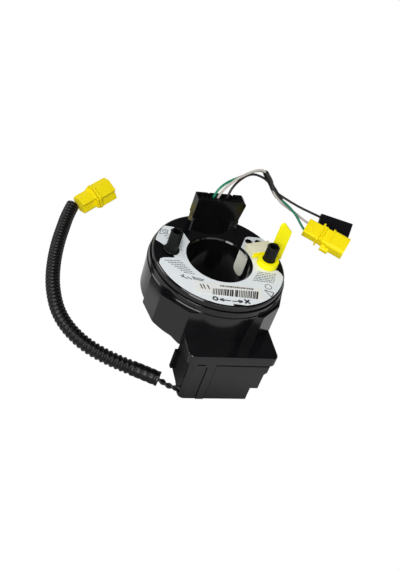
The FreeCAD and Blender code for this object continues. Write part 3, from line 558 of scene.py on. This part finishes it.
GREEN = [(-5.5, 25.4, 52.0), (-4.8, 25.7, 56.2), (-3.4, 26.5, 59.4), (-0.4, 28.2, 61.8),
         (3.8, 30.4, 63.4), (9.4, 33.2, 64.1), (15.2, 36.2, 64.9), (21.5, 39.1, 66.0),
         (26.8, 40.3, 65.6), (31.0, 39.4, 62.6), (34.4, 37.4, 57.6), (38.0, 35.2, 53.2),
         (42.6, 32.2, 50.4), (48.6, 31.4, 46.6), (53.8, 28.6, 42.6), (56.6, 24.6, 39.2),
         (58.9, 21.4, 37.4)]
WHITE = [(-2.75, 25.4, 52.0), (-2.1, 25.5, 56.2), (-0.4, 26.4, 59.2), (2.8, 28.4, 61.7),
         (7.6, 31.2, 64.3), (14.5, 35.0, 66.0), (20.8, 38.0, 67.0), (26.4, 39.3, 66.9),
         (30.2, 38.8, 63.6), (33.6, 36.6, 57.9), (37.2, 34.2, 53.0), (41.6, 31.4, 49.6),
         (48.0, 32.6, 45.2), (54.6, 32.2, 41.8), (59.2, 28.6, 40.0), (62.3, 25.8, 39.7)]
DARK = [(2.75, 25.4, 52.0), (3.4, 25.6, 55.8), (4.4, 26.8, 59.6), (7.1, 29.2, 62.4),
        (11.1, 32.4, 64.0), (15.9, 35.8, 64.7), (20.8, 37.9, 64.3), (25.6, 38.8, 62.6),
        (30.2, 38.9, 60.4), (34.2, 37.6, 57.2), (38.2, 36.1, 53.6), (43.8, 35.2, 51.0),
        (50.8, 36.4, 46.9), (58.9, 37.1, 42.8), (67.6, 37.8, 39.1), (76.6, 38.2, 35.5)]
HARNESS = [(27.6, 39.4, 65.6), (31.1, 38.9, 62.1), (34.3, 37.1, 57.4), (38.0, 35.2, 53.1),
           (41.9, 33.2, 50.3)]
PAIR = [(-12.6, -48.6, -31.2), (-22.4, -48.9, -31.0), (-31.0, -40.6, -30.8),
        (-40.3, -35.4, -30.8), (-48.9, -30.9, -30.8), (-59.2, -24.7, -30.8),
        (-69.6, -16.2, -30.8), (-77.8, -4.6, -30.8), (-82.9, 9.2, -30.8),
        (-84.1, 23.9, -30.8), (-83.2, 40.0, -30.8), (-79.6, 59.0, -30.8),
        (-74.4, 77.5, -30.8), (-69.3, 91.8, -30.8), (-65.6, 102.4, -30.8),
        (-61.9, 111.2, -30.8), (-57.5, 111.6, -29.3)]
CONDUIT = [(-30.2, -41.2, -30.8)] + PAIR[3:15] + [(-60.4, 113.6, -30.6)]

TUBE_RADIUS = 4.6 * MM
PLAIN_LENGTH = 16.4 * MM
GROOVE_PITCH = 4.1 * MM
GROOVE_DEPTH = 0.28 * MM
RIB_PITCH = 3.1 * MM
RIB_DEPTH = 0.85 * MM
STRAND_RADIUS = 0.9 * MM
STRAND_OFFSET = 0.85 * MM
TWIST_PITCH = 0.0085
LEAD_DIAMETER = 1.5 * MM
TAPE_RADIUS = 1.72 * MM
TAPE_STEP = 0.16 * MM
TAPE_PITCH = 6.5 * MM
TAPE_LENGTH = 22.0 * MM


def lead_line(name, points, diameter=0.0):
    """One smooth open spline with the route's points as its control points."""
    data = bpy.data.curves.new(name, "CURVE")
    data.dimensions = "3D"
    data.resolution_u = 12
    spline = data.splines.new("NURBS")
    spline.points.add(len(points) - 1)
    for spot, (x, y, z) in zip(spline.points, points):
        spot.co = (x * MM, y * MM, z * MM, 1.0)
    spline.order_u = 3
    spline.use_endpoint_u = True
    data.bevel_depth = diameter / 2.0
    data.bevel_resolution = 4
    data.use_fill_caps = True
    line = bpy.data.objects.new(name, data)
    bpy.context.collection.objects.link(line)
    return line


def read_line(points):
    """Points along the smooth spline of a route, with the distance to each."""
    guide = lead_line("guide_line", points)
    bpy.context.view_layer.update()
    mesh = bpy.data.meshes.new_from_object(guide)
    spots = [v.co.copy() for v in mesh.vertices]
    bpy.data.meshes.remove(mesh)
    bpy.data.objects.remove(guide)
    reach = [0.0]
    for before, after in zip(spots, spots[1:]):
        reach.append(reach[-1] + (after - before).length)
    return spots, reach


def carried_frames(spots):
    """Direction and side at each spot, with no sudden twist from one to the next."""
    directions = [(b - a).normalized() for a, b in zip(spots, spots[1:])]
    directions.append(directions[-1])
    side = directions[0].orthogonal().normalized()
    frames = []
    for direction in directions:
        side = (side - direction * side.dot(direction)).normalized()
        frames.append((direction, side, direction.cross(side)))
    return frames


class Guide:
    """Turns a distance along a route into a place and its frame."""

    def __init__(self, points):
        self.spots, self.reach = read_line(points)
        self.frames = carried_frames(self.spots)
        self.length = self.reach[-1]

    def at(self, distance):
        distance = min(max(distance, 0.0), self.length)
        step = 0
        while step < len(self.reach) - 2 and self.reach[step + 1] < distance:
            step += 1
        share = (distance - self.reach[step]) / (self.reach[step + 1] - self.reach[step])
        spot = self.spots[step].lerp(self.spots[step + 1], share)
        sides = [a.lerp(b, share).normalized()
                 for a, b in zip(self.frames[step], self.frames[step + 1])]
        return spot, sides


def sleeve_mesh(guide, around, along, radius_at, off_line=None, slant=0.0):
    """A grid rolled into a sleeve along the route and closed at both ends.

    radius_at gives the radius at a distance and a turn, off_line the angle and reach of the
    sleeve's own line beside the route, and slant leans the cut at the far end.
    """
    bm = bmesh.new()
    bmesh.ops.create_grid(bm, x_segments=around, y_segments=along, size=0.5)
    stops = {}
    for vert in bm.verts:
        turn = (vert.co.x + 0.5) * 2.0 * math.pi
        share = round(vert.co.y + 0.5, 6)
        distance = share * guide.length
        if share not in stops:
            stops[share] = guide.at(distance)
        spot, (direction, side, over) = stops[share]
        outward = side * math.cos(turn) + over * math.sin(turn)
        place = spot + outward * radius_at(distance, turn)
        if off_line:
            angle, reach = off_line(distance)
            place = place + (side * math.cos(angle) + over * math.sin(angle)) * reach
        if slant and share > 0.985:
            place = place + direction * slant * math.cos(turn)
        vert.co = place
    bmesh.ops.remove_doubles(bm, verts=bm.verts, dist=0.000005)
    rims = [e for e in bm.edges if e.is_boundary]
    bmesh.ops.holes_fill(bm, edges=rims, sides=0)
    bmesh.ops.recalc_face_normals(bm, faces=bm.faces)
    return bm


def ribbed_radius(distance, turn):
    """Ribs of the tube; its first stretch is smoother, with four shallow grooves."""
    if distance < PLAIN_LENGTH:
        groove = 0.5 + 0.5 * math.cos(2 * math.pi * distance / GROOVE_PITCH)
        return TUBE_RADIUS - GROOVE_DEPTH * (1.0 - groove) ** 3 - 0.05 * MM
    wave = 0.5 + 0.5 * math.cos(2 * math.pi * (distance - PLAIN_LENGTH) / RIB_PITCH)
    return TUBE_RADIUS - RIB_DEPTH * (1.0 - wave) ** 1.2


def make_ribbed_tube():
    """The corrugated tube, cut off at a slant."""
    guide = Guide(CONDUIT)
    bm = sleeve_mesh(guide, 32, 640, ribbed_radius, slant=0.0012)
    shade(bm, 50.0)
    tube = piece_from("ribbed_tube", bm, TUBE_BLACK, "stator")
    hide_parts("conduit")


def make_twisted_pair():
    """Two strands that wind round one line, through the tube to the connector."""
    guide = Guide(PAIR)
    for name, phase in (("pair_strand_one", 0.0), ("pair_strand_two", math.pi)):
        bm = sleeve_mesh(guide, 10, 420, lambda distance, turn: STRAND_RADIUS,
                         lambda distance, phase=phase: (
                             phase + distance * 2 * math.pi / TWIST_PITCH, STRAND_OFFSET))
        shade(bm, 50.0)
        piece_from(name, bm, BLACK_LEAD, "stator")
    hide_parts("pigtail_wires")


def make_lead(name, node, points, material):
    """A lead from the tower to its connector."""
    lead = lead_line(name, points, LEAD_DIAMETER)
    lead.data.materials.append(material)
    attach(lead, "rotor")
    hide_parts(node)


def wrap_radius(distance, turn):
    """Overlapping turns of tape leave a low step; the wrap has a waist and thins to its ends."""
    lap = (distance / TAPE_PITCH + turn / (2 * math.pi)) % 1.0
    waist = 0.22 * MM * math.exp(-((distance - 11.0 * MM) / (2.6 * MM)) ** 2)
    from_end = min(distance, max(0.0, TAPE_LENGTH - distance))
    ends = min(1.0, (0.3 * MM + from_end) / (1.6 * MM))
    return TAPE_RADIUS * (0.72 + 0.28 * ends) + TAPE_STEP * lap - waist


def make_tape_wrap():
    """The tape round the three leads."""
    guide = Guide(HARNESS)
    bm = sleeve_mesh(guide, 28, 120, wrap_radius)
    shade(bm, 40.0)
    wrap = piece_from("tape_wrap", bm, TAPE_BLACK, "rotor")
    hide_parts("harness_tape")
    return wrap


make_ribbed_tube()
make_twisted_pair()
TAPE_WRAP = make_tape_wrap()
make_lead("green_lead_wire", "wire_green", GREEN, GREEN_LEAD)
make_lead("white_lead_wire", "wire_white", WHITE, WHITE_LEAD)
make_lead("dark_lead_wire", "wire_dark", DARK, BROWN_LEAD)

# Print on the label and the sticker: plain bars, rings and arrows, in millimetres

FACE = 29.205
STICKER_FACE = FACE + 0.12
INK = 0.02


def stamp_bar(bm, start, end, width, height):
    """A flat bar between two places on the label."""
    a, b = Vector((*start, 0)), Vector((*end, 0))
    made = bmesh.ops.create_grid(bm, x_segments=1, y_segments=1, size=0.5)["verts"]
    bmesh.ops.scale(bm, vec=((b - a).length * MM, width * MM, 1), verts=made)
    turn = math.atan2(b.y - a.y, b.x - a.x)
    bmesh.ops.rotate(bm, cent=(0, 0, 0), matrix=Matrix.Rotation(turn, 3, "Z"), verts=made)
    middle = (a + b) / 2
    bmesh.ops.translate(bm, vec=(middle.x * MM, middle.y * MM, height * MM), verts=made)


def stamp_outline(bm, corners, width, height):
    """Bars from corner to corner and back to the first."""
    for start, end in zip(corners, corners[1:] + corners[:1]):
        stamp_bar(bm, start, end, width, height)


def stamp_rows(bm, corners, rows, marks, width, height, seed):
    """Rows of short dashes in a four-cornered field, first row between the first two corners."""
    a, b, c, d = [Vector((*p, 0)) for p in corners]
    for row in range(rows):
        down = (row + 0.5) / rows
        left, right = a.lerp(d, down), b.lerp(c, down)
        place = 0.02
        step = 0
        while place < 0.96:
            size = (0.35 + ((seed + row * 7 + step * 13) % 10) / 14.0) / marks
            stop = min(place + size, 0.98)
            stamp_bar(bm, left.lerp(right, place)[:2], left.lerp(right, stop)[:2], width, height)
            place = stop + 0.32 / marks
            step += 1


def stamp_ring(bm, centre, radius, width, height):
    """A flat ring with the given outer radius."""
    made = bmesh.ops.create_circle(bm, segments=32, radius=radius * MM, cap_ends=False)["verts"]
    edges = list({e for v in made for e in v.link_edges})
    grown = bmesh.ops.extrude_edge_only(bm, edges=edges)["geom"]
    inner = [g for g in grown if isinstance(g, bmesh.types.BMVert)]
    share = (radius - width) / radius
    bmesh.ops.scale(bm, vec=(share, share, 1), verts=inner)
    bmesh.ops.translate(bm, vec=(centre[0] * MM, centre[1] * MM, height * MM), verts=made + inner)


def lift_print(bm, name, material):
    """Gives the print the thickness of its ink."""
    for face in bm.faces:
        if face.normal.z < 0:
            face.normal_flip()
    made = bmesh.ops.extrude_face_region(bm, geom=bm.faces[:])["geom"]
    raised = [g for g in made if isinstance(g, bmesh.types.BMVert)]
    bmesh.ops.translate(bm, vec=(0, 0, INK * MM), verts=raised)
    bmesh.ops.recalc_face_normals(bm, faces=bm.faces)
    piece_from(name, bm, material, "rotor")


def print_label():
    """Small grey rows on the label, and darker arrows and signs at its front."""
    grey = bmesh.new()
    for corners, rows, marks, width, seed in (
            ([(-35.6, -3.6), (-25.6, -3.2), (-17.9, -15.6), (-24.6, -14.4)], 7, 7, 0.72, 3),
            ([(22.2, -9.0), (33.4, -10.4), (29.4, -19.0), (15.4, -17.9)], 6, 8, 0.72, 5),
            ([(-31.5, 17.6), (-27.0, 19.8), (-24.8, 12.2), (-27.6, 10.4)], 4, 4, 0.6, 1),
            ([(-19.8, 20.6), (-18.6, 18.2), (-22.2, 4.2), (-24.2, 5.2)], 7, 2, 0.6, 2)):
        stamp_rows(grey, corners, rows, marks, width, FACE, seed)
    stamp_ring(grey, (-29.8, 21.2), 1.3, 0.4, FACE)
    stamp_ring(grey, (24.6, -22.2), 2.2, 0.45, FACE)
    stamp_outline(grey, [(-33.2, 18.8), (-31.2, 23.4), (-27.2, 22.6), (-28.4, 19.2)], 0.4, FACE)
    for start, end in (((-28.0, -16.4), (-24.2, -19.0)), ((-27.2, -18.0), (-25.8, -15.4)),
                       ((-24.0, -17.4), (-21.6, -19.4)), ((-20.6, -17.6), (-14.4, -19.2)),
                       ((-20.0, -18.9), (-15.0, -20.2)), ((-20.8, -16.6), (-20.2, -19.4))):
        stamp_bar(grey, start, end, 0.65, FACE)
    lift_print(grey, "label_small_print", PRINT_GREY)
    dark = bmesh.new()
    stamp_outline(dark, [(21.4, -25.0), (26.7, -27.2), (24.1, -30.6)], 0.5, FACE)
    stamp_ring(dark, (-11.1, -34.1), 1.8, 1.0, FACE)
    stamp_bar(dark, (-2.1, -35.4), (-6.6, -34.9), 0.75, FACE)
    stamp_bar(dark, (-1.3, -35.7), (3.2, -35.5), 0.75, FACE)
    for tip, back in (((-8.6, -34.8), (-6.2, -34.9)), ((5.0, -35.5), (2.6, -35.6))):
        for side in (-1, 1):
            stamp_bar(dark, tip, (back[0], back[1] + side * 0.95), 1.0, FACE)
    stamp_bar(dark, (6.4, -33.6), (9.2, -37.2), 1.1, FACE)
    stamp_bar(dark, (9.4, -34.1), (6.2, -36.9), 1.1, FACE)
    lift_print(dark, "label_arrows", PRINT_BLACK)


def print_sticker():
    """A row of bars of uneven width on the sticker, and small marks above it."""
    bars = bmesh.new()
    place = 0.0
    step = 0
    while place < 0.99:
        width = (0.5, 0.8, 0.45, 1.1, 0.6)[(step * 7 + step // 3) % 5]
        top = Vector((-10.3, -26.0)).lerp(Vector((17.7, -26.9)), place)
        foot = Vector((-11.8, -31.0)).lerp(Vector((15.5, -33.2)), place)
        stamp_bar(bars, top, foot, width, STICKER_FACE)
        place += (width + (0.42, 0.6, 0.5)[step % 3]) / 28.0
        step += 1
    lift_print(bars, "sticker_bars", PRINT_BLACK)
    row = bmesh.new()
    stamp_rows(row, [(-6.0, -22.7), (15.6, -24.3), (15.5, -25.9), (-6.3, -24.4)], 1, 17, 1.3,
               STICKER_FACE, 4)
    for x in (-17.6, -15.9, -13.4):
        drop = (x + 17.6) * -0.08
        stamp_bar(row, (x, -22.9 + drop), (x + 0.6, -26.6 + drop), 0.7, STICKER_FACE)
    lift_print(row, "sticker_row", PRINT_BLACK)


print_label()
print_sticker()

# Studio: pale floor, white backdrop for the lens, soft boxes

FLOOR_HEIGHT = -0.0358
FLOOR_COLOUR = (0.45, 0.45, 0.46, 1)
# Painted shadow of the part on the floor as mirrored rays see it: dim inside the first radius,
# full glow beyond the second
PAINTED_SHADOW_RADIUS, FULL_RADIUS = 0.050, 0.085
PAINTED_SHADOW_GLOW, FULL_GLOW = 0.05, 0.64


def shown_by_ray(tree, result, choices):
    """Shows each kind of ray the output named for it, the later ones over the earlier."""
    ray = add(tree, "ShaderNodeLightPath")
    for kind, shown in choices:
        mix = add(tree, "ShaderNodeMixShader")
        tree.links.new(ray.outputs[kind], mix.inputs[0])
        tree.links.new(result, mix.inputs[1])
        tree.links.new(shown, mix.inputs[2])
        result = mix.outputs["Shader"]
    return result


def stage_finish(name):
    """Plain pale surface for light and shade, white to the lens.

    A mirrored ray sees it dim under the part, a painted shadow, and pale further out.
    """
    material = bpy.data.materials.new(name)
    material.use_nodes = True
    tree = material.node_tree
    shader = tree.nodes["Principled BSDF"]
    shader.inputs["Base Color"].default_value = FLOOR_COLOUR
    shader.inputs["Roughness"].default_value = 0.7
    place = add(tree, "ShaderNodeTexCoord")
    reach = add(tree, "ShaderNodeVectorMath", operation="LENGTH")
    tree.links.new(place.outputs["Object"], reach.inputs[0])
    painted_shadow = add(tree, "ShaderNodeMapRange", interpolation_type="SMOOTHSTEP")
    for label, value in (("From Min", PAINTED_SHADOW_RADIUS), ("From Max", FULL_RADIUS),
                         ("To Min", PAINTED_SHADOW_GLOW), ("To Max", FULL_GLOW)):
        painted_shadow.inputs[label].default_value = value
    tree.links.new(reach.outputs["Value"], painted_shadow.inputs["Value"])
    mirrored = add(tree, "ShaderNodeEmission")
    tree.links.new(painted_shadow.outputs["Result"], mirrored.inputs["Strength"])
    seen = add(tree, "ShaderNodeEmission")
    result = shown_by_ray(tree, shader.outputs["BSDF"],
                          (("Is Glossy Ray", mirrored.outputs["Emission"]),
                           ("Is Camera Ray", seen.outputs["Emission"])))
    tree.links.new(result, tree.nodes["Material Output"].inputs["Surface"])
    material.cycles.emission_sampling = "NONE"
    return material


def lay_floor():
    """A wide floor just under the box."""
    bm = bmesh.new()
    bmesh.ops.create_grid(bm, x_segments=1, y_segments=1, size=2.0)
    bmesh.ops.translate(bm, vec=(0, 0, FLOOR_HEIGHT), verts=bm.verts)
    mesh = bpy.data.meshes.new("studio_floor")
    bm.to_mesh(mesh)
    bm.free()
    floor = bpy.data.objects.new("studio_floor", mesh)
    bpy.context.collection.objects.link(floor)
    mesh.materials.append(stage_finish("floor_white"))


def light_room():
    """Low even light, white to the lens, and pale below and dark above in a mirrored ray."""
    world = bpy.data.worlds.new("studio_room")
    bpy.context.scene.world = world
    world.use_nodes = True
    tree = world.node_tree
    base = tree.nodes["Background"]
    place = add(tree, "ShaderNodeTexCoord")
    parts = add(tree, "ShaderNodeSeparateXYZ")
    tree.links.new(place.outputs["Generated"], parts.inputs["Vector"])
    height = add(tree, "ShaderNodeValToRGB")
    stops = height.color_ramp.elements
    stops[0].position = 0.0
    stops[0].color = (0.95, 0.95, 0.96, 1)
    stops[1].position = 0.42
    stops[1].color = (0.05, 0.05, 0.055, 1)
    low = stops.new(0.16)
    low.color = (0.80, 0.80, 0.82, 1)
    tree.links.new(parts.outputs["Z"], height.inputs["Fac"])
    tree.links.new(height.outputs["Color"], base.inputs["Color"])
    fill = add(tree, "ShaderNodeBackground")
    fill.inputs["Color"].default_value = (0.25, 0.25, 0.255, 1)
    seen = add(tree, "ShaderNodeBackground")
    seen.inputs["Color"].default_value = (1, 1, 1, 1)
    result = shown_by_ray(tree, fill.outputs["Background"],
                          (("Is Glossy Ray", base.outputs["Background"]),
                           ("Is Camera Ray", seen.outputs["Background"])))
    tree.links.new(result, tree.nodes["World Output"].inputs["Surface"])


def soft_box(name, place, width, height, power):
    """Area lamp that faces the middle of the part."""
    data = bpy.data.lights.new(name, "AREA")
    data.shape = "RECTANGLE"
    data.size = width
    data.size_y = height
    data.energy = power
    lamp = bpy.data.objects.new(name, data)
    lamp.location = place
    lamp.rotation_euler = (-Vector(place)).to_track_quat("-Z", "Y").to_euler()
    bpy.context.collection.objects.link(lamp)


lay_floor()
light_room()
soft_box("box_overhead", (-0.45, -0.35, 0.85), 0.5, 0.5, 4.1)
soft_box("box_back_left", (-0.75, 0.35, 0.45), 0.35, 0.5, 2.5)
soft_box("box_key", (-0.58, -0.72, 0.45), 0.4, 0.4, 4.6)
soft_box("box_front", (0.20, -0.85, 0.55), 1.0, 0.7, 2.4)
bpy.context.scene.view_settings.view_transform = "Standard"
